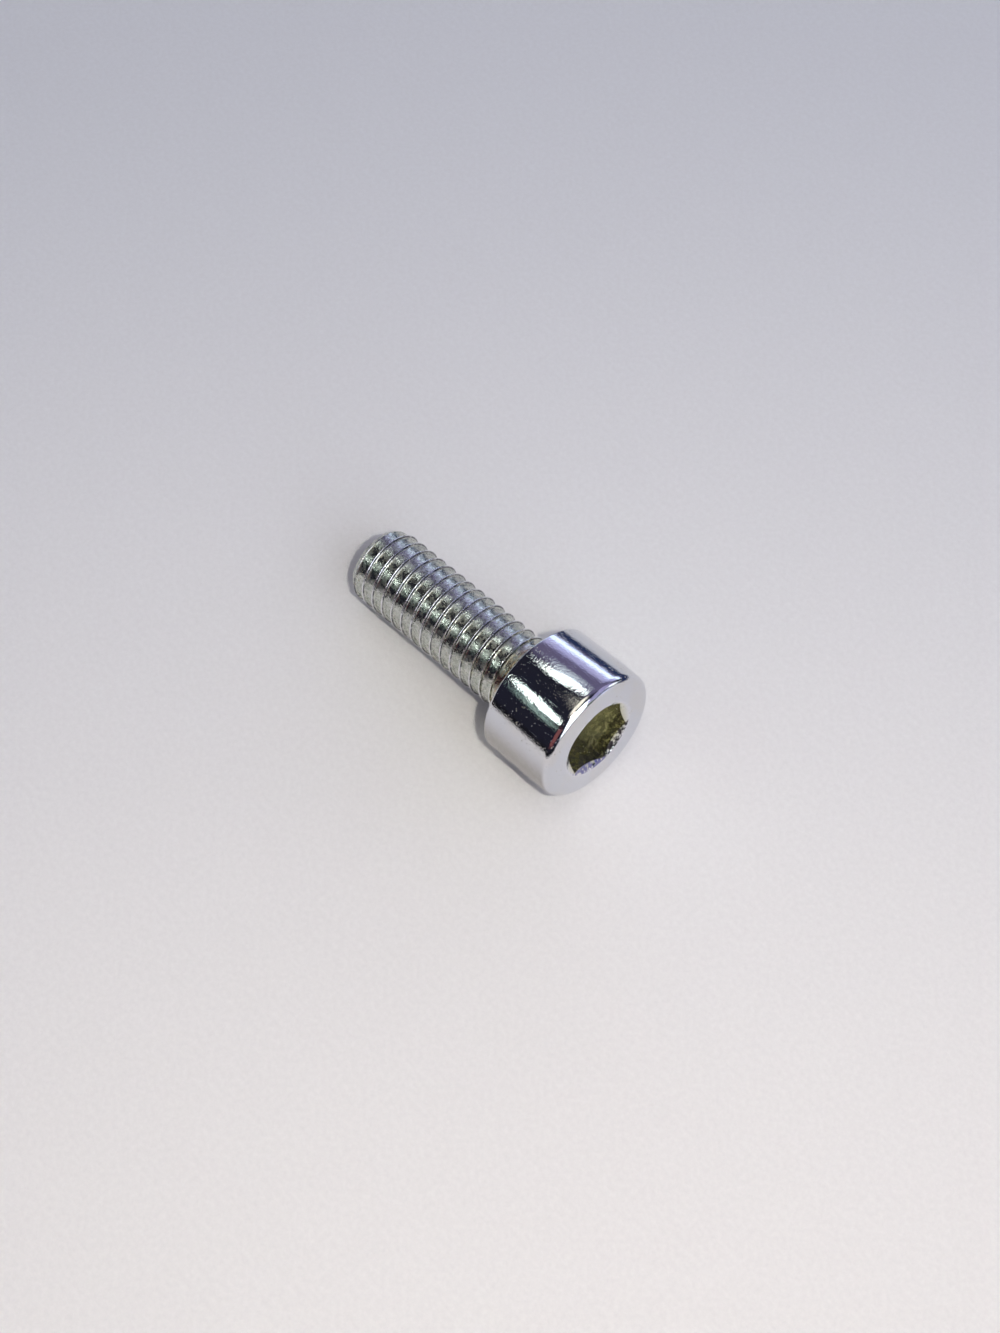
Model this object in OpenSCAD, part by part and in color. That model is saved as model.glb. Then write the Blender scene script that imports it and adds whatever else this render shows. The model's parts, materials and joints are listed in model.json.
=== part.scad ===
// Hex socket head cap screw, metric, lying on its side.
// Built in a frame of its own: the screw's axis is X, the head is on the +X side,
// and the screw rests on the under edge of its head and on the end of its shank.

/* [Head] */
// Diameter of the cylindrical head
head_d = 10; // [8.4:0.1:14]
// Height of the head, from its bearing face to the socket face
head_h = 6; // [4.6:0.1:10]
// Radius of the rounding round the socket face
rim_r = 0.6; // [0.1:0.05:1]
// Radius of the rounding round the bearing face
under_edge_r = 0.2; // [0.05:0.05:0.5]

/* [Shank] */
// Major diameter of the thread
shank_d = 6; // [4:0.1:8]
// Length under the head
shank_len = 16; // [8:0.5:60]
// Length of the chamfer at the tip
tip_chamfer_len = 0.6; // [0.1:0.05:1.5]
// Depth of the chamfer at the tip, measured along the radius
tip_chamfer_depth = 0.4; // [0.1:0.05:1]
// Radius of the fillet between the shank and the bearing face
fillet_r = 0.3; // [0.1:0.05:0.4]

/* [Socket] */
// Size of the hex key that the socket takes, across its flats
key_size = 5; // [3:0.1:6]
// Clearance between the key and the socket, across the flats
key_clearance = 0.02; // [0:0.01:0.1]
// Depth of the full hexagon, from the socket face
socket_depth = 3.2; // [1.5:0.1:5]
// Depth of the shallow cone below the hexagon
floor_cone_depth = 0.4; // [0.1:0.05:0.6]
// How far the countersink at the mouth reaches past the corners of the hexagon
mouth_lip = 0.11; // [0.05:0.01:0.3]
// Full angle of the countersink at the mouth
mouth_angle = 120; // [80:1:140]

/* [Rest] */
// How far a corner of the socket is turned from straight up
roll = 6.6; // [-30:0.1:30]

/* [Hidden] */
$fn = 96;

head_r = head_d / 2;
shank_r = shank_d / 2;
tip_r = shank_r - tip_chamfer_depth;
socket_af = key_size + key_clearance;
corner_r = socket_af / 2 / cos(30);
mouth_r = corner_r + mouth_lip;
past_face = 0.5;  // how far the cutting tools stand out of the socket face

// The screw touches the floor with the end of its full shank, at (touch_x, shank_r) in
// the section through its axis, and with the rounding at the foot of its head.
touch_x = -(shank_len - tip_chamfer_len);
round_dx = under_edge_r - touch_x;
round_dr = head_r - under_edge_r - shank_r;
lean = atan2(round_dr, round_dx)
     + asin(under_edge_r / sqrt(round_dx * round_dx + round_dr * round_dr));
axis_z = shank_r * cos(lean) - touch_x * sin(lean);

// Ends of the leaning screw along X, which set where the middle of its footprint is.
head_end_x = (head_h - rim_r) * cos(lean) + (head_r - rim_r) * sin(lean) + rim_r;
tip_end_x = min(-shank_len * cos(lean) - tip_r * sin(lean),
                touch_x * cos(lean) - shank_r * sin(lean));
middle_x = (head_end_x + tip_end_x) / 2;

// What a rounding of radius r takes off a square outer corner, seen from the middle of
// its arc, with the corner towards +x and +y.
module corner_waste(r) {
    difference() {
        square(2 * r);
        circle(r = r);
    }
}

// Half section of the forged blank, with its axis along y and its bearing face at y = 0:
// the square outline, less what the rim, the foot of the head and the fillet round off.
module blank_section() {
    difference() {
        polygon([
            [0, head_h],
            [head_r, head_h],
            [head_r, 0],
            [shank_r + fillet_r, 0],
            [shank_r + fillet_r, -fillet_r],
            [shank_r, -fillet_r],
            [shank_r, touch_x],
            [tip_r, -shank_len],
            [0, -shank_len],
        ]);
        translate([head_r - rim_r, head_h - rim_r]) corner_waste(rim_r);
        translate([head_r - under_edge_r, under_edge_r]) mirror([0, 1]) corner_waste(under_edge_r);
        translate([shank_r + fillet_r, -fillet_r]) circle(r = fillet_r);
    }
}

// The blank stands on its tip end, with its bearing face at z = 0.
module blank() {
    rotate_extrude() blank_section();
}

// Everything that the punch takes out of the head: the hexagon, the shallow cone below
// it and the countersink at its mouth.
module socket() {
    mouth_slope = tan(mouth_angle / 2);
    mouth_depth = mouth_r / mouth_slope;
    translate([0, 0, head_h - socket_depth])
        cylinder(h = socket_depth + past_face, r = corner_r, $fn = 6);
    intersection() {
        translate([0, 0, head_h - socket_depth - floor_cone_depth])
            cylinder(h = floor_cone_depth, r1 = 0, r2 = corner_r);
        translate([0, 0, head_h - socket_depth - floor_cone_depth])
            cylinder(h = floor_cone_depth, r = corner_r, $fn = 6);
    }
    translate([0, 0, head_h - mouth_depth])
        cylinder(h = mouth_depth + past_face, r1 = 0, r2 = mouth_r + past_face * mouth_slope);
}

// The whole screw, laid down and leaned until it touches the floor at both places.
module cap_screw() {
    color([0.78, 0.80, 0.83])
        translate([-middle_x, 0, axis_z])
        rotate([0, -lean, 0])
        rotate([0, 90, 0])
        rotate([0, 0, roll])
        difference() {
            blank();
            socket();
        }
}

cap_screw();
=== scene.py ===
# %% [markdown]
# # A hex socket cap screw, plated in bright zinc
#
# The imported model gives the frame: one node, `cap_screw`, with the true head, socket and
# shank, but with a plain cylinder where the thread goes. This lesson makes the screw that
# is seen: one closed mesh with a real helical thread, a socket with its countersink, and a
# mirror-like zinc finish. Everything is in metres and stays inside the CAD model's box.

# %% Load the frame
import json
import math

import bmesh
import bpy
from mathutils import Matrix, Vector


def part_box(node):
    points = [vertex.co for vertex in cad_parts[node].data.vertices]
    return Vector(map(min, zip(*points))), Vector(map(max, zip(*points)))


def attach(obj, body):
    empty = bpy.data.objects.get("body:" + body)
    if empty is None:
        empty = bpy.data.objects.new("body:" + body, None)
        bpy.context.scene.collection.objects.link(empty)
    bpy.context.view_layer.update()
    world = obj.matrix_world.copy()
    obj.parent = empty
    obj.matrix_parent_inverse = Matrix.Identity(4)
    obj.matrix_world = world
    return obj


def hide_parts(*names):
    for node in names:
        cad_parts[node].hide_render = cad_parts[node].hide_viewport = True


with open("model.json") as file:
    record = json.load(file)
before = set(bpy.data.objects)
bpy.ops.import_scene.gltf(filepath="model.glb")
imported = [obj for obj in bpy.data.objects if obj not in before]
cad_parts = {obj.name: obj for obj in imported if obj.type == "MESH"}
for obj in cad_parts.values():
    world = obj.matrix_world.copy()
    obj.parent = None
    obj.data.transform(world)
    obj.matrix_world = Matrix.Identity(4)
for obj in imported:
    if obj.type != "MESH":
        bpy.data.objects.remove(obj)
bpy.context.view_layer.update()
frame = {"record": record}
record = frame["record"]
mounts = {m["name"]: m for m in record["mounts"]}

# %% [markdown]
# ## Where the screw lies
#
# A screw is a turned shape, so it is easiest to build standing up: its axis on local Z, the
# bearing face under the head at z = 0, the head above and the shank below, in millimetres.
# The record's mounts say how the real one lies: the drive socket's axis points out of the
# head, and its position is the middle of the socket face. From those two the lesson makes
# one matrix that lays the finished mesh down, so the object itself stays at the origin.

# %% The matrix that lays the screw down
HEAD_H = 6.0
ROLL = math.radians(6.6)

axis = Vector(mounts["drive_socket"]["axis"]).normalized()
face_centre = Vector(mounts["drive_socket"]["pos_m"])
bearing_centre = face_centre - axis * HEAD_H / 1000
across = Vector((0, 1, 0))
down = across.cross(axis)


def placed(x_dir, y_dir, z_dir, origin):
    """The matrix that takes local millimetres to the row frame's metres."""
    turned = Matrix((x_dir, y_dir, z_dir)).transposed().to_4x4()
    return Matrix.Translation(origin) @ turned @ Matrix.Scale(0.001, 4)


LAY_DOWN = placed(down, across, axis, bearing_centre)
print("axis leans", round(math.degrees(math.asin(axis.z)), 2), "degrees")

# %% [markdown]
# ## The thread
#
# A thread could be a bump in the material, or a twisted curve. Here it is real geometry,
# because its crests make the outline of the shank. One section of the whole shank, a comb
# of thin crests and broad flat roots, is spun once round the axis while it climbs by one
# pitch.
# After the full turn each crest meets the next one, the doubles are merged, and the result
# is a single continuous helix that runs through every row of the mesh.

# %% Sizes of the thread, in millimetres
PITCH = 1.0
THREAD_R = mounts["thread"]["dims"]["r_mm"] - 0.03   # a crest, a little inside the nominal size
SHANK_LEN = 16.0
CREST_ROUND = 0.04     # radius of a crest
FLANK_TILT = math.radians(64)   # how far a flank's normal leans off the radius
FLANK_SPAN = 0.07      # how far along the axis a straight flank goes
ROOT_ROUND = 0.09      # radius between a flank and the broad flat root
CREST_STEPS, FLANK_STEPS, ROOT_STEPS, FLAT_STEPS = 3, 2, 4, 2
STEPS_ROUND = 192
THREAD_PHASE = 1.304   # where the first crest starts, in pitches below the tip


def half_groove():
    """Points (distance, depth) from the middle of a crest to the middle of the root."""
    lean, half = FLANK_TILT, [(0.0, 0.0)]
    for k in range(1, CREST_STEPS + 1):
        turn = lean * k / CREST_STEPS
        half.append((CREST_ROUND * math.sin(turn), CREST_ROUND * (1 - math.cos(turn))))
    s, deep = half[-1]
    for k in range(1, FLANK_STEPS + 1):
        out = FLANK_SPAN * k / FLANK_STEPS
        half.append((s + out, deep + out * math.tan(lean)))
    s, deep = half[-1]
    for k in range(1, ROOT_STEPS + 1):
        left = lean * (1 - k / ROOT_STEPS)
        half.append((s + ROOT_ROUND * (math.sin(lean) - math.sin(left)),
                     deep + ROOT_ROUND * (math.cos(left) - math.cos(lean))))
    s, deep = half[-1]
    flat = PITCH / 2 - s
    return half + [(s + flat * k / FLAT_STEPS, deep) for k in range(1, FLAT_STEPS + 1)]


def one_groove():
    """Points (distance, depth) along one whole pitch, from a crest up to the next one."""
    half = half_groove()
    return half + [(PITCH - s, deep) for s, deep in reversed(half[1:-1])]


print("groove depth", round(half_groove()[-1][1], 3), "mm, points per pitch", len(one_groove()))

# %% [markdown]
# ## Ends of the thread
#
# Rolling dies can't reach the head, so the groove fades out in the last turn and leaves a
# plain neck of about the pitch diameter. At the other end the blank was chamfered before it
# was rolled, so the first crests are cut down along a cone. Both are small moves of the
# finished helix, towards or away from the axis, that depend only on the height.

# %% Run-out at the head and chamfer at the tip
NECK_R = THREAD_R - 0.2
NECK_Z = -0.45       # where the neck ends and the fillet's mesh starts
RUNOUT_LEN = 0.95    # how far below the neck the groove starts to fade
TIP_R = 2.6
TIP_LEN = 0.6
SPARE_TURNS = 3      # turns beyond the shank's length, trimmed off at both ends
MERGE_DIST = 0.002   # points of two turns closer than this become one
SAME = 1e-4          # two heights or radii closer than this are the same
EXACT = 1e-5


def smooth(low, high, value):
    """0 below low, 1 above high and an even S between them."""
    t = min(max((value - low) / (high - low), 0.0), 1.0)
    return t * t * (3 - 2 * t)


def shaped_radius(r, z):
    """The radius of a point of the endless thread once the shank's ends are shaped."""
    fade = smooth(NECK_Z - RUNOUT_LEN, NECK_Z, z)
    r += (NECK_R - r) * fade
    cone = TIP_R + (z + SHANK_LEN) * (THREAD_R - TIP_R) / TIP_LEN
    return min(r, cone)


def threaded_shank(bm):
    """Spins the thread and trims it square at the tip and at the neck."""
    groove = one_groove()
    turns = int(SHANK_LEN / PITCH) + SPARE_TURNS
    start = -SHANK_LEN - THREAD_PHASE * PITCH
    section = []
    for turn in range(turns):
        for s, deep in groove:
            section.append(bm.verts.new((THREAD_R - deep, 0, start + turn * PITCH + s)))
    lines = [bm.edges.new(pair) for pair in zip(section, section[1:])]
    bmesh.ops.spin(bm, geom=section + lines, cent=(0, 0, 0), axis=(0, 0, 1), angle=math.tau,
                   dvec=(0, 0, PITCH / STEPS_ROUND), steps=STEPS_ROUND, use_merge=False)
    bmesh.ops.remove_doubles(bm, verts=bm.verts, dist=MERGE_DIST)
    for height, side in ((-SHANK_LEN, -1), (NECK_Z, 1)):
        everything = bm.verts[:] + bm.edges[:] + bm.faces[:]
        bmesh.ops.bisect_plane(bm, geom=everything, dist=EXACT, plane_co=(0, 0, height),
                               plane_no=(0, 0, side), clear_outer=True)
    for v in bm.verts:
        r = v.co.xy.length
        k = shaped_radius(r, v.co.z) / r
        v.co.x *= k
        v.co.y *= k


def open_loop(bm, height):
    """The open edges that lie at that height."""
    return [e for e in bm.edges
            if e.is_boundary and all(abs(v.co.z - height) < SAME for v in e.verts)]


def grow_ring(bm, edges, move):
    """Extrudes a loop of open edges, moves its new points with move(v), returns the new loop."""
    grown = bmesh.ops.extrude_edge_only(bm, edges=edges)["geom"]
    for v in (g for g in grown if isinstance(g, bmesh.types.BMVert)):
        move(v)
    return [g for g in grown if isinstance(g, bmesh.types.BMEdge)]


def at_radius(r, z):
    """A move that puts a point on a circle of radius r at height z."""
    def move(v):
        k = r / v.co.xy.length
        v.co = (v.co.x * k, v.co.y * k, z)
    return move


# %% [markdown]
# ## Neck, fillet and tip
#
# From here the mesh grows ring by ring. At the top the open loop of the neck is extruded
# along the fillet into the flat bearing face. At the bottom the loop shrinks to a shallow
# cup, which is what a rolled end looks like, and a last small face closes it.

# %% Neck and tip
FILLET_R = 0.3
FILLET_STEPS = 6
CUP_DEPTH = 0.12
CUP_RINGS = ((0.93, 0.0), (0.85, 0.25), (0.6, 0.75), (0.4, 1.0))   # size of a ring, share of depth


def add_fillet(bm):
    """Grows the neck's loop up the fillet, out to where the bearing face is flat."""
    loop = open_loop(bm, NECK_Z)
    outer = THREAD_R + FILLET_R
    for k in range(FILLET_STEPS + 1):
        a = math.pi / 2 * k / FILLET_STEPS
        r = NECK_R + (outer - NECK_R) * (1 - math.cos(a))
        z = -FILLET_R * (1 - math.sin(a))
        loop = grow_ring(bm, loop, at_radius(r, z))


def close_tip(bm):
    """Grows the tip's loop inwards as a shallow cup and closes it at the axis."""
    loop = open_loop(bm, -SHANK_LEN)

    def shrink(share, z):
        def move(v):
            v.co = (v.co.x * share, v.co.y * share, z)
        return move

    for share, lift in CUP_RINGS:
        loop = grow_ring(bm, loop, shrink(share, -SHANK_LEN + lift * CUP_DEPTH))
    bmesh.ops.edgeloop_fill(bm, edges=loop)


# %% [markdown]
# ## The head
#
# The head's outline is a short line spun round the axis: up the side and in over the socket
# face. Its two outer corners start square and are rounded by a bevel, which is how a soft
# forged edge is made in the editor too. The hexagon's corners need points of their own, so
# the spin has a multiple of twelve steps.

# %% Sizes of the head, in millimetres
HEAD_R = mounts["head_side"]["dims"]["r_mm"] - 0.003   # keeps the fine mesh inside the CAD box
FOOT_INNER = HEAD_R - 0.45     # where the head's mesh meets the fillet's
RIM_ROUND, RIM_PARTS = 0.6, 10
FOOT_ROUND, FOOT_PARTS = 0.2, 5
HEAD_STEPS = 240
KEY_SIZE = 5.02
CORNER_R = KEY_SIZE / 2 / math.cos(math.pi / 6)
MOUTH_R = CORNER_R + 0.11
MOUTH_SLOPE = math.tan(math.radians(60))
LIP, LIP_DROP = 0.05, 0.014    # width and depth of the soft edge at the mouth
FACE_INNER = MOUTH_R + 0.17    # a ring that keeps the lip's shading off the face
SOCKET_DEPTH = 3.2
FLOOR_CONE = 0.4
FLOOR_RINGS = (0.7, 0.35)
HEAD_MERGE = 0.001


def head_shell(bm):
    """The head without its socket: side, socket face and rounded corners."""
    outline = [(FOOT_INNER, 0), (HEAD_R, 0), (HEAD_R, HEAD_H), (FACE_INNER, HEAD_H),
               (MOUTH_R + LIP, HEAD_H)]
    section = [bm.verts.new((r, 0, z)) for r, z in outline]
    lines = [bm.edges.new(pair) for pair in zip(section, section[1:])]
    bmesh.ops.spin(bm, geom=section + lines, cent=(0, 0, 0), axis=(0, 0, 1), angle=math.tau,
                   steps=HEAD_STEPS, use_merge=True)
    bmesh.ops.remove_doubles(bm, verts=bm.verts, dist=HEAD_MERGE)
    for height, size, parts in ((HEAD_H, RIM_ROUND, RIM_PARTS), (0, FOOT_ROUND, FOOT_PARTS)):
        on_rim = {v for v in bm.verts
                  if abs(v.co.z - height) < SAME and abs(v.co.xy.length - HEAD_R) < SAME}
        rim = [e for e in bm.edges if all(v in on_rim for v in e.verts)]
        bmesh.ops.bevel(bm, geom=rim, offset=size, offset_type="OFFSET", segments=parts,
                        profile=0.5, affect="EDGES", material=-1)


# %% [markdown]
# ## The socket
#
# A punched hexagon with a conical mouth shows six scallops: the cone cuts deeper where a
# flat is near the axis and barely reaches the corners. A boolean would give that edge with
# untidy faces. Growing it is cleaner: each point of the mouth circle moves inwards to the
# hexagon, and drops as far as the cone says for that distance.

# %% Socket
def hexagon_radius(angle):
    """Distance from the axis to the hexagon's wall in that direction."""
    from_flat = (angle - math.pi / 6) % (math.pi / 3) - math.pi / 6
    return KEY_SIZE / 2 / math.cos(from_flat)


def add_socket(bm):
    """Grows the mouth's loop down the countersink, the walls and the shallow cone."""
    loop = [e for e in bm.edges if e.is_boundary
            and all(v.co.xy.length < MOUTH_R + 2 * LIP and v.co.z > HEAD_H / 2 for v in e.verts)]

    def to_wall(v):
        angle = math.atan2(v.co.y, v.co.x)
        r = hexagon_radius(angle + math.pi / 6)
        drop = LIP_DROP + (MOUTH_R - r) / MOUTH_SLOPE
        v.co = (r * math.cos(angle), r * math.sin(angle), HEAD_H - drop)

    def to_floor(v):
        v.co.z = HEAD_H - SOCKET_DEPTH

    loop = grow_ring(bm, loop, at_radius(MOUTH_R, HEAD_H - LIP_DROP))
    loop = grow_ring(bm, loop, to_wall)
    loop = grow_ring(bm, loop, to_floor)
    for share in FLOOR_RINGS:
        def up_the_cone(v, share=share):
            v.co = (v.co.x * share, v.co.y * share, v.co.z)
            v.co.z = HEAD_H - SOCKET_DEPTH - FLOOR_CONE * (1 - share)
        loop = grow_ring(bm, loop, up_the_cone)
    bmesh.ops.edgeloop_fill(bm, edges=loop)


# %% Put the screw together
def build_screw():
    """One closed mesh in local millimetres."""
    bm = bmesh.new()
    threaded_shank(bm)
    add_fillet(bm)
    close_tip(bm)
    head = bmesh.new()
    head_shell(head)
    add_socket(head)
    bmesh.ops.rotate(head, verts=head.verts, cent=(0, 0, 0), matrix=Matrix.Rotation(ROLL, 3, "Z"))
    mesh = bpy.data.meshes.new("head_part")
    head.to_mesh(mesh)
    bm.from_mesh(mesh)
    bpy.data.meshes.remove(mesh)
    bmesh.ops.remove_doubles(bm, verts=bm.verts, dist=EXACT)
    seam = [e for e in bm.edges if e.is_boundary]
    bmesh.ops.bridge_loops(bm, edges=seam)
    bmesh.ops.triangulate(bm, faces=[f for f in bm.faces if len(f.verts) > 4])
    bmesh.ops.recalc_face_normals(bm, faces=bm.faces)
    return bm


screw_bm = build_screw()
print("faces", len(screw_bm.faces), "open edges", sum(e.is_boundary for e in screw_bm.edges),
      "bad edges", sum(not e.is_manifold for e in screw_bm.edges))

# %% [markdown]
# ## What the finish needs to know
#
# The plating isn't the same all over. The zinc is thin and greenish where the bath reached
# badly in the socket, and it is polished by handling on crests and rims. Painted light is
# laid into the colour too: painted shade darkens and greens the thread's grooves and its
# flanks, a painted highlight brightens crests, rims, the socket's corners and the lip of its
# mouth, and painted shade darkens the lower side of the head. Five numbers on each point of
# the mesh carry that to the material: `recess` in the socket and under the head, `groove`
# between the crests of the thread, `crest` on what hands and dies have polished and where
# the painted highlight goes, `burr` on the rough cone at the socket's mouth, and `under` on
# the lower side of the head, where the painted shade goes.

# %% Marks for the finish, smoothing and placing
SHARP = math.radians(28)     # edges sharper than this keep their crease
NEAR = 0.01
MOUTH_BELOW = 0.4            # how far down the mouth's cone reaches at most
UNDER_HEAD = 0.8             # how recessed the bearing face is
RIM_POLISH_SHEEN_IN, RIM_POLISH_SHEEN_BELOW = 0.35, (0.7, 0.3)    # how far in and down the rim's polish and painted highlight reach
# Where the painted shade on the lower side of the head reaches.
LOW_SHADE_IN, LOW_SHADE_BELOW = (0.6, 0.1), (0.5, 0.2)
LOW_SHADE_ROUND = (-0.5, 0.05)    # from where round the side to where, as cosines
GROOVE_FROM, GROOVE_FULL = 0.02, 0.16     # depths below the crest
CREST_GONE = 0.08
MARKS = ("recess", "groove", "crest", "burr", "under")


def mark_head(v, layers):
    """The marks of a point of the head, from its distance to the axis and its height."""
    r, z = v.co.xy.length, v.co.z
    in_socket = r < CORNER_R + NEAR and z < HEAD_H - NEAR
    on_cone = KEY_SIZE / 2 - NEAR < r < MOUTH_R + NEAR and z > HEAD_H - MOUTH_BELOW
    on_corner = in_socket and abs(r - CORNER_R) < NEAR
    on_lip = abs(r - MOUTH_R - LIP / 2) < LIP / 2 + NEAR
    # Polish and a painted highlight along the rim.
    rim = (smooth(HEAD_R - RIM_POLISH_SHEEN_IN, HEAD_R, r)
           * smooth(HEAD_H - RIM_POLISH_SHEEN_BELOW[0], HEAD_H - RIM_POLISH_SHEEN_BELOW[1], z))
    # Painted shade on the lower half of the head's side, the half that faces the paper.
    side = (smooth(HEAD_R - LOW_SHADE_IN[0], HEAD_R - LOW_SHADE_IN[1], r)
            * (1.0 - smooth(HEAD_H - LOW_SHADE_BELOW[0], HEAD_H - LOW_SHADE_BELOW[1], z)))
    v[layers["recess"]] = 1.0 if in_socket else 0.0
    v[layers["burr"]] = 1.0 if on_cone else 0.0
    # The socket's corners and the lip of its mouth get a painted highlight line.
    v[layers["crest"]] = 1.0 if on_corner or on_lip else rim
    v[layers["under"]] = side * smooth(*LOW_SHADE_ROUND, v.co.x / r)


def mark_points(bm):
    """Writes the five marks of each point as attributes of the mesh."""
    layers = {name: bm.verts.layers.float.new(name) for name in MARKS}
    for v in bm.verts:
        depth = max(THREAD_R - v.co.xy.length, 0.0)
        if v.co.z > NEAR:
            mark_head(v, layers)
        elif v.co.xy.length > THREAD_R:
            v[layers["recess"]] = UNDER_HEAD
        else:
            # The grooves: painted shade, rolling marks and blurred zinc.
            v[layers["groove"]] = smooth(GROOVE_FROM, GROOVE_FULL, depth)
            # The crests: polish and a painted highlight.
            v[layers["crest"]] = 1.0 - smooth(0.0, CREST_GONE, depth)


def finish_mesh(bm, name):
    """Shades the mesh, lays it down and makes it an object in the scene."""
    mark_points(bm)
    for f in bm.faces:
        f.smooth = True
    for e in bm.edges:
        if len(e.link_faces) == 2 and e.calc_face_angle() > SHARP:
            e.smooth = False
    bmesh.ops.transform(bm, matrix=LAY_DOWN, verts=bm.verts)
    mesh = bpy.data.meshes.new(name)
    bm.to_mesh(mesh)
    bm.free()
    piece = bpy.data.objects.new(name, mesh)
    bpy.context.scene.collection.objects.link(piece)
    return piece


screw = finish_mesh(screw_bm, "threaded_cap_screw")
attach(screw, "root")
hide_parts("cap_screw")
print("triangles", sum(len(p.vertices) - 2 for p in screw.data.polygons))

# %% [markdown]
# ## Small tools for node trees
#
# Materials and the studio are built from nodes. A few helpers keep that readable: one adds
# a node and sets its inputs, and the others each stand for one kind of node that is needed
# often, such as a line of arithmetic, a smooth range, a mix of two colours or a noise.

# %% Node helpers
def add_node(tree, kind, inputs=None, **settings):
    """A new node with some of its settings and inputs filled in. An input may be a socket."""
    node = tree.nodes.new(kind)
    for name, value in settings.items():
        setattr(node, name, value)
    for name, value in (inputs or {}).items():
        if isinstance(value, bpy.types.NodeSocket):
            tree.links.new(value, node.inputs[name])
        else:
            node.inputs[name].default_value = value
    return node


def sums(tree, operation, a, b=0.0, c=0.0):
    """The result of one arithmetic operation."""
    return add_node(tree, "ShaderNodeMath", {0: a, 1: b, 2: c}, operation=operation).outputs[0]


def ramp(tree, value, low, high, to_low=0.0, to_high=1.0):
    """value taken smoothly from low..high to to_low..to_high."""
    limits = {"Value": value, "From Min": low, "From Max": high,
              "To Min": to_low, "To Max": to_high}
    node = add_node(tree, "ShaderNodeMapRange", limits, interpolation_type="SMOOTHSTEP")
    return node.outputs["Result"]


def mixed(tree, factor, a, b):
    """Two colours mixed by a factor."""
    node = add_node(tree, "ShaderNodeMix", data_type="RGBA")
    for index, value in ((0, factor), (6, a), (7, b)):
        if isinstance(value, bpy.types.NodeSocket):
            tree.links.new(value, node.inputs[index])
        else:
            node.inputs[index].default_value = value
    return node.outputs[2]


def noise(tree, vector, scale, detail, rough):
    """A cloudy grey with about scale patches in a unit of length."""
    return add_node(tree, "ShaderNodeTexNoise", {"Vector": vector, "Scale": scale,
                    "Detail": detail, "Roughness": rough}).outputs["Fac"]


def dots(tree, vector, scale, radius, keep):
    """Small round spots scattered at random; the higher keep is, the fewer there are."""
    cells = add_node(tree, "ShaderNodeTexVoronoi",
                     {"Vector": vector, "Scale": scale, "Randomness": 1.0}).outputs
    lot = add_node(tree, "ShaderNodeSeparateColor", {"Color": cells["Color"]}).outputs["Red"]
    spot = ramp(tree, cells["Distance"], radius, radius * 0.5)
    return sums(tree, "MULTIPLY", spot, ramp(tree, lot, keep, keep + 0.02))


def rgb(r, g, b):
    """An opaque colour."""
    return (r, g, b, 1.0)


def new_material(name):
    """An empty material and its tree."""
    material = bpy.data.materials.new(name)
    material.use_nodes = True
    material.node_tree.nodes.clear()
    return material, material.node_tree


# %% [markdown]
# ## Bright zinc
#
# Bright zinc is a mirror that was never polished: the bath leaves a faint orange peel of
# about a tenth of a millimetre, tiny pits, and hairlines from tumbling with other screws.
# One Principled shader with full metallic does it. The patterns read Object coordinates
# through a Mapping node that undoes the lean, so they are measured in millimetres along the
# screw's own axis. The marks of the mesh say where each pattern is.

# %% Patterns along the screw
# name: scale, detail and roughness of a noise, its range, and what that range becomes
PATCHES = {
    "cloudy": (0.45, 2, 0.5, 0.40, 0.65, 0.0, 1.0),
    # polish and a painted highlight on crests, rims and edges
    "worn": (2.5, 2, 0.6, 0.35, 0.60, 0.35, 1.0),
    # painted shade on the lower side of the head
    "dusty": (3.0, 3, 0.7, 0.25, 0.65, 0.82, 1.0),
    # painted shade in the thread's grooves
    "mottled": (4.5, 3, 0.7, 0.38, 0.64, 0.0, 1.0),
    # painted shade on the thread's flanks
    "grimy": (3.0, 2, 0.6, 0.35, 0.55, 1.8, 4.0),
    "stained": (7.0, 3, 0.7, 0.45, 0.70, 0.0, 1.0),
    # patches of painted dark reflection, then of painted blue reflection, on the mouth's cone
    "torn": (3.2, 3, 0.7, 0.42, 0.52, 0.0, 1.0),
    "bruised": (2.2, 3, 0.7, 0.42, 0.52, 0.0, 1.0),
    "pitted": (0.55, 1, 0.5, 0.52, 0.62, 0.0, 1.0),
    "hairs": (2.2, 3, 0.6, 0.62, 0.72, 0.0, 1.0),
    "blurred": (3.0, 2, 0.6, 0.42, 0.58, 0.10, 0.24),
}
PITS, SPECKS = (4.0, 0.24, 0.45), (4.2, 0.16, 0.45)    # scale, radius, share left out
HAIR_TURN, HAIR_STRETCH = (0.3, 0.2, 0.5), (9.0, 9.0, 0.35)
RIDGES, RIDGE_STRETCH = (2.4, 3, 0.6), (0.5, 0.5, 3.4)
RUNOUT_FROM, RUNOUT_FULL = -1.9, -1.1    # millimetres from the bearing face


def patches(tree, vector, name):
    """One of the cloudy patterns of the table."""
    scale, detail, rough, low, high, to_low, to_high = PATCHES[name]
    return ramp(tree, noise(tree, vector, scale, detail, rough), low, high, to_low, to_high)


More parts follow.
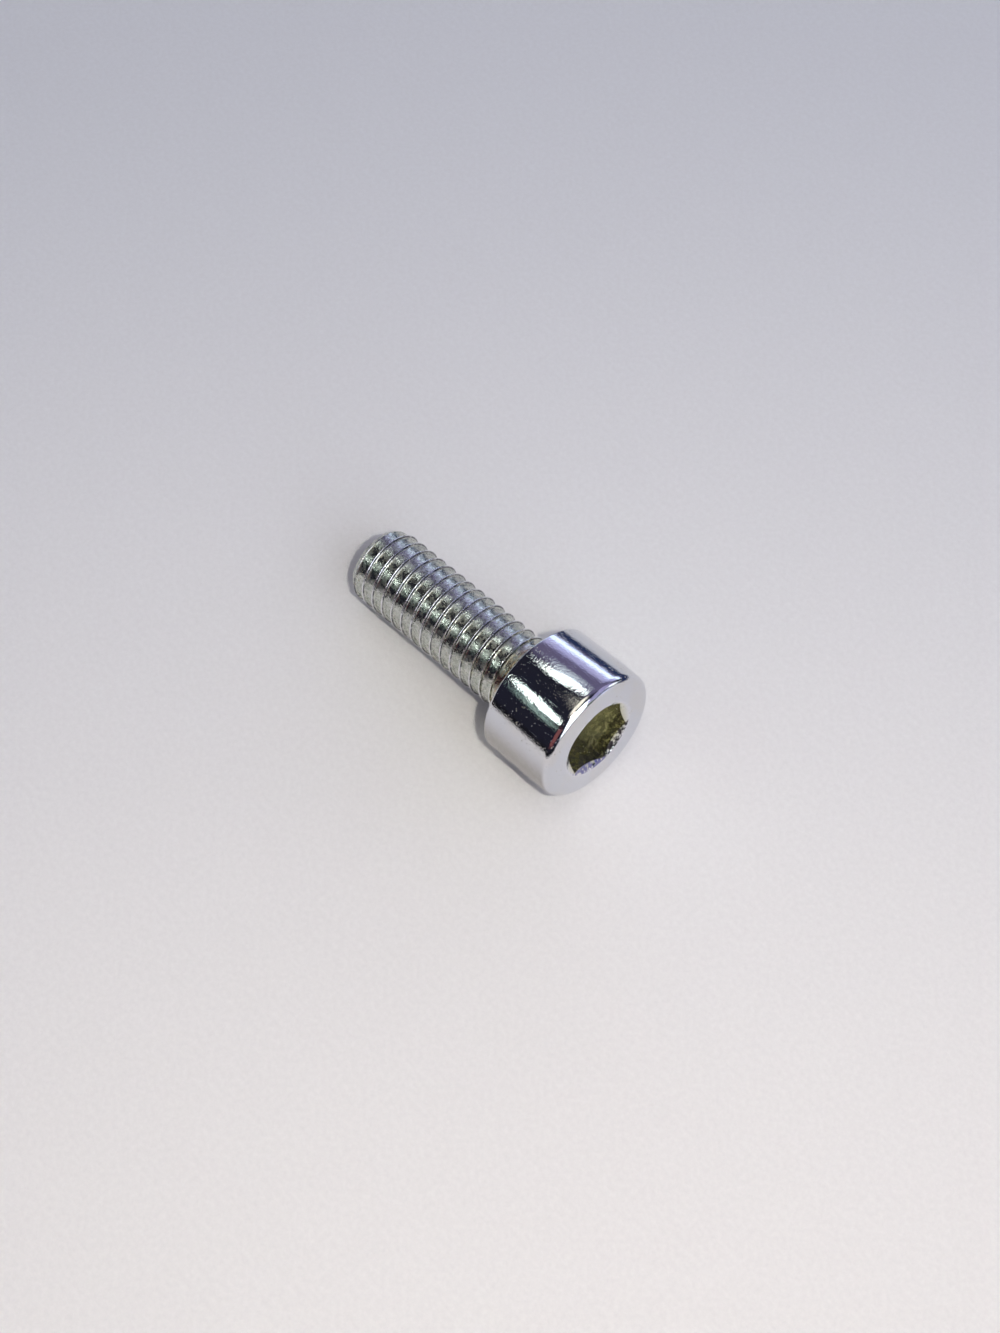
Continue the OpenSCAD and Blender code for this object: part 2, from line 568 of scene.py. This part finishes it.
def zinc_patterns(tree):
    """The marks of the mesh and the patterns that colour and relief share, by name."""
    place = add_node(tree, "ShaderNodeTexCoord").outputs["Object"]
    local = add_node(tree, "ShaderNodeMapping", {"Vector": place, "Location": bearing_centre,
                     "Rotation": LAY_DOWN.to_euler(), "Scale": (0.001, 0.001, 0.001)},
                     vector_type="TEXTURE").outputs["Vector"]
    found = {name: add_node(tree, "ShaderNodeAttribute", attribute_name=name).outputs["Fac"]
             for name in MARKS}
    along = add_node(tree, "ShaderNodeSeparateXYZ", {"Vector": local}).outputs["Z"]
    ridged = add_node(tree, "ShaderNodeMapping", {"Vector": local, "Scale": RIDGE_STRETCH})
    hairy = add_node(tree, "ShaderNodeMapping",
                     {"Vector": local, "Rotation": HAIR_TURN, "Scale": HAIR_STRETCH})
    found["local"] = local
    found["runout"] = sums(tree, "MULTIPLY", ramp(tree, along, RUNOUT_FROM, RUNOUT_FULL),
                           found["groove"])
    found["ridges"] = noise(tree, ridged.outputs["Vector"], *RIDGES)
    found["hairs"] = sums(tree, "MULTIPLY", patches(tree, hairy.outputs["Vector"], "hairs"),
                          sums(tree, "SUBTRACT", 1.0, found["recess"]))
    found["pits"] = sums(tree, "MULTIPLY", dots(tree, local, *PITS),
                         patches(tree, local, "pitted"))
    found["specks"] = dots(tree, local, *SPECKS)
    return found


# %% [markdown]
# ## Colours of the plating
#
# The colours are laid over each other like coats of paint, from the widest to the smallest:
# slightly warm clouds, worn edges with a painted highlight, painted shade on the lower side,
# the thread's painted shade, darker and greener in its grooves and darker still on its
# flanks, the brown run-out, the olive socket with a painted highlight on its corners, and
# last a dark and a blue painted reflection on two parts of the mouth's torn cone, and the
# dirt in the pits.

# %% Colours of the zinc
ZINC = rgb(0.85, 0.865, 0.885)
ZINC_WARM = rgb(0.87, 0.865, 0.845)
# a painted highlight over the polish of crests, rims and the lip
EDGE_HIGHLIGHT = rgb(0.93, 0.935, 0.95)
# painted shade on the lower side of the head
LOW_SIDE_SHADE = rgb(0.38, 0.355, 0.33)
# painted shade in the thread's grooves, light and dark
GROOVE_SHADE = rgb(0.68, 0.685, 0.63)
GROOVE_SHADE_DARK = rgb(0.44, 0.465, 0.40)
# painted shade on the flanks of the thread: thin dark lines
FLANK_SHADE = rgb(0.10, 0.10, 0.11)
RUNOUT_TINT = rgb(0.62, 0.47, 0.30)
PIT_DIRT = rgb(0.45, 0.41, 0.30)
STAIN_FROM, STAIN_FULL = 0.42, 0.62    # heights of the run-out's ridges


def side_colour(tree, on):
    """The colour of the head's outside and of the thread."""
    local, groove = on["local"], on["groove"]
    colour = mixed(tree, patches(tree, local, "cloudy"), ZINC, ZINC_WARM)
    # polish and a painted highlight where the crest mark is
    worn = sums(tree, "MULTIPLY", on["crest"], patches(tree, local, "worn"))
    colour = mixed(tree, worn, colour, EDGE_HIGHLIGHT)
    # painted shade on the lower side of the head, faintly cloudy
    dusty = sums(tree, "MULTIPLY", on["under"], patches(tree, local, "dusty"))
    colour = mixed(tree, dusty, colour, LOW_SIDE_SHADE)
    # painted shade in the grooves, mottled
    mottled = mixed(tree, patches(tree, local, "mottled"), GROOVE_SHADE, GROOVE_SHADE_DARK)
    colour = mixed(tree, groove, colour, mottled)
    # painted shade on the flanks, patchy
    on_flank = sums(tree, "MULTIPLY", groove, sums(tree, "SUBTRACT", 1.0, groove))
    grimy = sums(tree, "MULTIPLY", on_flank, patches(tree, local, "grimy"))
    colour = mixed(tree, grimy, colour, FLANK_SHADE)
    ridge_tops = ramp(tree, on["ridges"], STAIN_FROM, STAIN_FULL)
    stain = sums(tree, "MULTIPLY", on["runout"], ridge_tops)
    return mixed(tree, stain, colour, RUNOUT_TINT)


# %% Colours of the socket
SOCKET_TINT = rgb(0.735, 0.725, 0.515)
SOCKET_DARK = rgb(0.57, 0.56, 0.41)
# a painted highlight on the socket's corner lines
SOCKET_CORNER_HIGHLIGHT = rgb(0.86, 0.83, 0.62)
# painted reflections on the torn cone at the mouth, one dark and one blue
DARK_REFLECTION = rgb(0.05, 0.045, 0.05)
BLUE_REFLECTION = rgb(0.22, 0.22, 0.40)
DARK_REFLECTION_FLAT = ROLL + math.radians(30)    # the flat over which the mouth's cone gets a painted dark reflection
BLUE_REFLECTION_FLAT = ROLL - math.radians(30)    # the flat over which it gets a painted blue reflection
SCALLOP_FROM, SCALLOP_FULL = 2.35, 2.55    # millimetres from the axis towards the flat


def scallop(tree, local, angle):
    """1 on the part of the mouth's cone over the flat that faces that angle."""
    way = (math.cos(angle), math.sin(angle), 0.0)
    reach = add_node(tree, "ShaderNodeVectorMath", {0: local, 1: way}, operation="DOT_PRODUCT")
    return ramp(tree, reach.outputs["Value"], SCALLOP_FROM, SCALLOP_FULL)


def socket_colour(tree, on, colour):
    """The colour of the outside with the socket and its mouth laid over it."""
    local = on["local"]
    punched = mixed(tree, patches(tree, local, "stained"), SOCKET_TINT, SOCKET_DARK)
    # painted highlight along the socket's corners
    punched = mixed(tree, on["crest"], punched, SOCKET_CORNER_HIGHLIGHT)
    colour = mixed(tree, on["recess"], colour, punched)
    # Painted dark and blue reflections on two parts of the torn cone.
    for angle, name, tint in ((DARK_REFLECTION_FLAT, "torn", DARK_REFLECTION), (BLUE_REFLECTION_FLAT, "bruised", BLUE_REFLECTION)):
        painted_reflection = sums(tree, "MULTIPLY", scallop(tree, local, angle), patches(tree, local, name))
        colour = mixed(tree, sums(tree, "MULTIPLY", on["burr"], painted_reflection), colour, tint)
    return colour


# %% [markdown]
# ## Roughness and relief
#
# A mirror shows its faults as bent reflections more than as marks. So the roughness stays
# low and changes gently, while a bump of a few thousandths of a millimetre does the work:
# the peel everywhere, rolling marks in the thread, ridges at the run-out, the torn cone at
# the mouth, and hairlines, pits and specks that go down.

# %% Roughness and relief
# noises: scale, detail, roughness
DULL, PEEL, BROAD = (1.6, 4, 0.6), (7.5, 2, 0.6), (2.6, 1, 0.5)
ROLLED, TORN = (5.5, 2, 0.6), (1.5, 1, 0.5)
BASE_ROUGH, DULL_ROUGH = 0.03, 0.06
ROUGHER = {"hairs": 0.07, "recess": 0.16, "pits": 0.35}
CREST_SMOOTHER = -0.02
BUMP_UNIT = 7.5e-6     # metres that a height of 1 stands out
BROAD_HEIGHT, ROLLED_HEIGHT, RIDGE_HEIGHT, TORN_HEIGHT = 0.4, 2.4, 7.0, 22.0
HEIGHTS = {"hairs": -0.12, "pits": -1.2, "specks": -1.0}


def zinc_roughness(tree, on):
    """Low everywhere, higher where the plating is scratched, pitted or badly reached."""
    dull = sums(tree, "MULTIPLY", noise(tree, on["local"], *DULL), DULL_ROUGH)
    rough = sums(tree, "ADD", dull, BASE_ROUGH)
    for name, more in ROUGHER.items():
        rough = sums(tree, "MULTIPLY_ADD", on[name], more, rough)
    blurred = patches(tree, on["local"], "blurred")
    rough = sums(tree, "MULTIPLY_ADD", on["groove"], blurred, rough)
    return sums(tree, "MULTIPLY_ADD", on["crest"], CREST_SMOOTHER, rough)


def zinc_bump(tree, on):
    """The relief as a bent normal."""
    local = on["local"]
    peel, broad = noise(tree, local, *PEEL), noise(tree, local, *BROAD)
    rolled = sums(tree, "MULTIPLY", noise(tree, local, *ROLLED), on["groove"])
    ridged = sums(tree, "MULTIPLY", on["ridges"], on["runout"])
    torn = sums(tree, "MULTIPLY", noise(tree, local, *TORN), on["burr"])
    height = sums(tree, "MULTIPLY_ADD", broad, BROAD_HEIGHT, peel)
    height = sums(tree, "MULTIPLY_ADD", rolled, ROLLED_HEIGHT, height)
    height = sums(tree, "MULTIPLY_ADD", ridged, RIDGE_HEIGHT, height)
    height = sums(tree, "MULTIPLY_ADD", torn, TORN_HEIGHT, height)
    for name, up in HEIGHTS.items():
        height = sums(tree, "MULTIPLY_ADD", on[name], up, height)
    bump = add_node(tree, "ShaderNodeBump",
                    {"Strength": 1.0, "Distance": BUMP_UNIT, "Height": height})
    return bump.outputs["Normal"]


# %% Zinc material
def zinc_material():
    """The whole finish of the screw."""
    material, tree = new_material("bright_zinc_plating")
    on = zinc_patterns(tree)
    colour = socket_colour(tree, on, side_colour(tree, on))
    colour = mixed(tree, on["pits"], colour, PIT_DIRT)
    shader = add_node(tree, "ShaderNodeBsdfPrincipled", {"Base Color": colour, "Metallic": 1.0,
                      "Roughness": zinc_roughness(tree, on), "Normal": zinc_bump(tree, on)})
    add_node(tree, "ShaderNodeOutputMaterial", {"Surface": shader.outputs["BSDF"]})
    return material


screw.data.materials.append(zinc_material())
print("nodes in the finish", len(screw.data.materials[0].node_tree.nodes))

# %% [markdown]
# ## Paper to lie on
#
# A sheet of white paper fills the view. It is a plain diffuse surface with a faint fibre
# pattern, and a painted gradient of light in its colour makes it a little warmer and paler
# towards the viewer, cooler and darker away from it. It belongs to the stage, not to the
# screw.

# %% Floor
PAPER_SIZE = 1.2
# a painted gradient of light: shaded and cool far from the viewer, lit and warm near it
PAPER_FAR_SHADE = rgb(0.75, 0.775, 0.83)
PAPER_NEAR_LIGHT = rgb(0.935, 0.915, 0.89)
PAPER_SHADE = rgb(0.46, 0.445, 0.45)
FAR_SHADE_FROM, NEAR_LIGHT_FROM = -0.10, 0.09    # metres along the sheet, across the view
FIBRE_SHADE, CLOUD_SHADE = 0.34, 0.04
FIBRE_HEIGHT = 4.0e-5
FIBRES, CLOUDS = (2600.0, 4.0, 0.75), (28.0, 2.0, 0.5)    # scale, detail, roughness


def paper_material():
    """A matt sheet with fibres, the faintest clouds and a painted gradient of light."""
    material, tree = new_material("white_paper")
    place = add_node(tree, "ShaderNodeTexCoord").outputs["Object"]
    fibres, clouds = noise(tree, place, *FIBRES), noise(tree, place, *CLOUDS)
    split = add_node(tree, "ShaderNodeSeparateXYZ", {"Vector": place}).outputs
    along = sums(tree, "SUBTRACT", split["X"], split["Y"])
    # painted gradient of light across the sheet
    colour = mixed(tree, ramp(tree, along, FAR_SHADE_FROM, NEAR_LIGHT_FROM), PAPER_FAR_SHADE, PAPER_NEAR_LIGHT)
    colour = mixed(tree, sums(tree, "MULTIPLY", clouds, CLOUD_SHADE), colour, PAPER_SHADE)
    colour = mixed(tree, sums(tree, "MULTIPLY", fibres, FIBRE_SHADE), colour, PAPER_SHADE)
    bump = add_node(tree, "ShaderNodeBump",
                    {"Strength": 1.0, "Distance": FIBRE_HEIGHT, "Height": fibres})
    shader = add_node(tree, "ShaderNodeBsdfPrincipled", {"Base Color": colour, "Roughness": 0.9,
                      "Specular IOR Level": 0.1, "Normal": bump.outputs["Normal"]})
    add_node(tree, "ShaderNodeOutputMaterial", {"Surface": shader.outputs["BSDF"]})
    return material


def make_floor():
    """Lays the sheet under the screw's lowest point."""
    bm = bmesh.new()
    bmesh.ops.create_grid(bm, x_segments=1, y_segments=1, size=PAPER_SIZE / 2)
    bmesh.ops.translate(bm, verts=bm.verts, vec=(0, 0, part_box("cap_screw")[0].z))
    mesh = bpy.data.meshes.new("paper")
    bm.to_mesh(mesh)
    bm.free()
    floor = bpy.data.objects.new("paper", mesh)
    bpy.context.scene.collection.objects.link(floor)
    mesh.materials.append(paper_material())


make_floor()

# %% [markdown]
# ## The studio
#
# A mirror shows what surrounds it, so the light is designed as a room: dark at the back,
# with soft boxes at chosen directions. Each box is an area light a metre away, given by the
# compass direction and height of its middle and by how wide and high it looks from the
# screw, all in degrees. Its energy follows from the brightness its reflection should have.
# The key is different: a small lamp near the screw, which gives the crisp narrow shadow.
# The fill is a box that no mirror shows: it only lifts the shade on the paper.

# %% Soft boxes
# name: azimuth, elevation, width, height, colour, brightness
BOXES = {
    "low_window": (116, 13.5, 80, 9, (0.66, 0.80, 1.0), 1.25),
    "window_glow": (112, 24, 62, 12, (0.58, 0.60, 1.0), 0.42),
    "tube_one": (-134.5, 41.5, 11.5, 4.3, (0.88, 1.0, 0.97), 5.5),
    "tube_one_edge": (-127, 33, 12, 4.0, (0.70, 1.0, 0.88), 0.42),
    "tube_two": (153, 53.5, 15, 3.5, (0.90, 1.0, 0.97), 3.6),
    "tube_two_edge": (138, 46, 9, 3.0, (0.85, 1.0, 0.97), 0.8),
    "front_box": (-9, 36, 40, 54, (0.86, 0.89, 1.0), 1.9),
    "side_box": (42, 34, 44, 34, (0.60, 0.55, 0.95), 0.40),
    "warm_curtain": (-82, 29, 42, 32, (1.0, 0.30, 0.25), 0.14),
    "lavender_door": (32, 2, 15, 11, (0.62, 0.64, 1.0), 0.9),
    "door": (52, 12, 16, 14, (0.90, 0.95, 1.0), 1.1),
    "fill": (42, 34, 44, 34, (0.86, 0.92, 1.0), 0.75),
}
FILL = "fill"
BOX_DISTANCE = 1.0
KEY_AZIMUTH, KEY_ELEVATION, KEY_DISTANCE = -31.0, 61.8, 0.155
KEY_WIDTH = 0.007
KEY_COLOUR = (1.0, 0.93, 0.82)
KEY_ENERGY = 0.10


def towards(azimuth, elevation):
    """The unit vector of a compass direction and a height, both in degrees."""
    az, el = math.radians(azimuth), math.radians(elevation)
    return Vector((math.cos(az) * math.cos(el), math.sin(az) * math.cos(el), math.sin(el)))


def hang(data, direction, distance):
    """Puts a light in the scene, turned towards the screw and hidden from the camera."""
    lamp = bpy.data.objects.new(data.name, data)
    lamp.location = direction * distance
    lamp.rotation_mode = "QUATERNION"
    lamp.rotation_quaternion = direction.to_track_quat("Z", "Y")
    lamp.visible_camera = False
    lamp.visible_glossy = data.name != FILL
    bpy.context.scene.collection.objects.link(lamp)


def hang_boxes():
    """Makes every soft box and the key lamp."""
    for name, (az, el, wide, high, colour, bright) in BOXES.items():
        data = bpy.data.lights.new(name, "AREA")
        data.shape = "RECTANGLE"
        data.size = 2 * BOX_DISTANCE * math.tan(math.radians(wide / 2))
        data.size_y = 2 * BOX_DISTANCE * math.tan(math.radians(high / 2))
        data.color = colour
        data.energy = 4 * bright * data.size * data.size_y
        hang(data, towards(az, el), BOX_DISTANCE)
    key = bpy.data.lights.new("key", "AREA")
    key.shape = "DISK"
    key.size = KEY_WIDTH
    key.color = KEY_COLOUR
    key.energy = KEY_ENERGY
    hang(key, towards(KEY_AZIMUTH, KEY_ELEVATION), KEY_DISTANCE)


hang_boxes()
print("soft boxes", len(BOXES))

# %% [markdown]
# ## The room behind the boxes
#
# Between the boxes the metal mirrors the room. A bright patch of ceiling right overhead, a
# violet wall on the window side and a grey front are three soft discs of directions over a
# dark colour. Low down stand two dark bands that only reflections can see: they draw the
# dark line along each edge of the metal, as the far end of a table does.

# %% World
ROOM = rgb(0.014, 0.0145, 0.025)
VIOLET_WALL = rgb(0.125, 0.11, 0.20)
FRONT = rgb(0.10, 0.125, 0.10)
CEILING = rgb(1.10, 1.04, 0.90)
BACKDROP = rgb(0.62, 0.63, 0.65)
# each: (azimuth, elevation, outer and inner radius), colour
DISCS = (
    ((110, 34, 44, 26), VIOLET_WALL),
    ((14, 2, 30, 20), FRONT),
    ((-165, 83, 22, 15), CEILING),
)


def studio():
    """The room as a world: a dark colour with three soft discs, and a plain backdrop."""
    world = bpy.data.worlds.new("studio")
    bpy.context.scene.world = world
    world.use_nodes = True
    tree = world.node_tree
    tree.nodes.clear()
    direction = add_node(tree, "ShaderNodeTexCoord").outputs["Generated"]

    def facing(azimuth, elevation, far, near):
        """A soft disc of directions: 0 beyond far degrees from its middle, 1 within near."""
        node = add_node(tree, "ShaderNodeVectorMath",
                        {0: direction, 1: towards(azimuth, elevation)}, operation="DOT_PRODUCT")
        low, high = math.cos(math.radians(far)), math.cos(math.radians(near))
        return ramp(tree, node.outputs["Value"], low, high)

    colour = ROOM
    for disc, tint in DISCS:
        colour = mixed(tree, facing(*disc), colour, tint)
    seen = add_node(tree, "ShaderNodeLightPath").outputs["Is Camera Ray"]
    colour = mixed(tree, seen, colour, BACKDROP)
    light = add_node(tree, "ShaderNodeBackground", {"Color": colour, "Strength": 1.0})
    add_node(tree, "ShaderNodeOutputWorld", {"Surface": light.outputs["Background"]})


studio()
bpy.context.scene.view_settings.view_transform = "Standard"

# %% Dark bands
BAND_HIGH = 0.0125
BAND_STEPS = 36
# name: from azimuth, to azimuth, distance, colour; the front, -27 to 42, stays open
BANDS = {
    "window_side_band": (42.0, 165.0, 0.050, rgb(0.026, 0.036, 0.090)),
    "back_band": (165.0, 333.0, 0.085, rgb(0.008, 0.008, 0.010)),
}


def make_band(name, first, last, away, colour):
    """A low curved wall that only reflections see."""
    bm = bmesh.new()
    start = towards(first, 0) * away
    foot, top = bm.verts.new(start), bm.verts.new(start + Vector((0, 0, BAND_HIGH)))
    edge = bm.edges.new((foot, top))
    bmesh.ops.spin(bm, geom=[foot, top, edge], cent=(0, 0, 0), axis=(0, 0, 1), steps=BAND_STEPS,
                   angle=math.radians(last - first), use_merge=False)
    mesh = bpy.data.meshes.new(name)
    bm.to_mesh(mesh)
    bm.free()
    band = bpy.data.objects.new(name, mesh)
    bpy.context.scene.collection.objects.link(band)
    band.visible_camera = band.visible_diffuse = band.visible_shadow = False
    material, tree = new_material(name)
    glow = add_node(tree, "ShaderNodeEmission", {"Color": colour, "Strength": 1.0})
    add_node(tree, "ShaderNodeOutputMaterial", {"Surface": glow.outputs["Emission"]})
    mesh.materials.append(material)


for band_name, (first, last, away, colour) in BANDS.items():
    make_band(band_name, first, last, away, colour)

# %% [markdown]
# ## Camera
#
# The camera looks steeply down over the head towards the tip. It is placed by the point on
# the paper that it looks at, its distance, and the two angles of a tripod head.

# %% Camera
AIM = Vector((0.0, 0.0013, 0.0))
CAMERA_AZIMUTH = math.radians(45.66)
CAMERA_ELEVATION = math.radians(61.65)
CAMERA_DISTANCE = 0.1538
FOCAL_LENGTH, SENSOR_WIDTH = 58.06, 36.0    # millimetres
CLIP_START = 0.005


def make_camera():
    """Puts the camera on its tripod and makes it the scene's."""
    back = Vector((math.sin(CAMERA_AZIMUTH) * math.cos(CAMERA_ELEVATION),
                   -math.cos(CAMERA_AZIMUTH) * math.cos(CAMERA_ELEVATION),
                   math.sin(CAMERA_ELEVATION)))
    data = bpy.data.cameras.new("camera")
    data.lens = FOCAL_LENGTH
    data.sensor_width = SENSOR_WIDTH
    data.clip_start = CLIP_START
    camera = bpy.data.objects.new("camera", data)
    camera.location = AIM + back * CAMERA_DISTANCE
    camera.rotation_mode = "QUATERNION"
    camera.rotation_quaternion = (-back).to_track_quat("-Z", "Y")
    bpy.context.scene.collection.objects.link(camera)
    bpy.context.scene.camera = camera


make_camera()
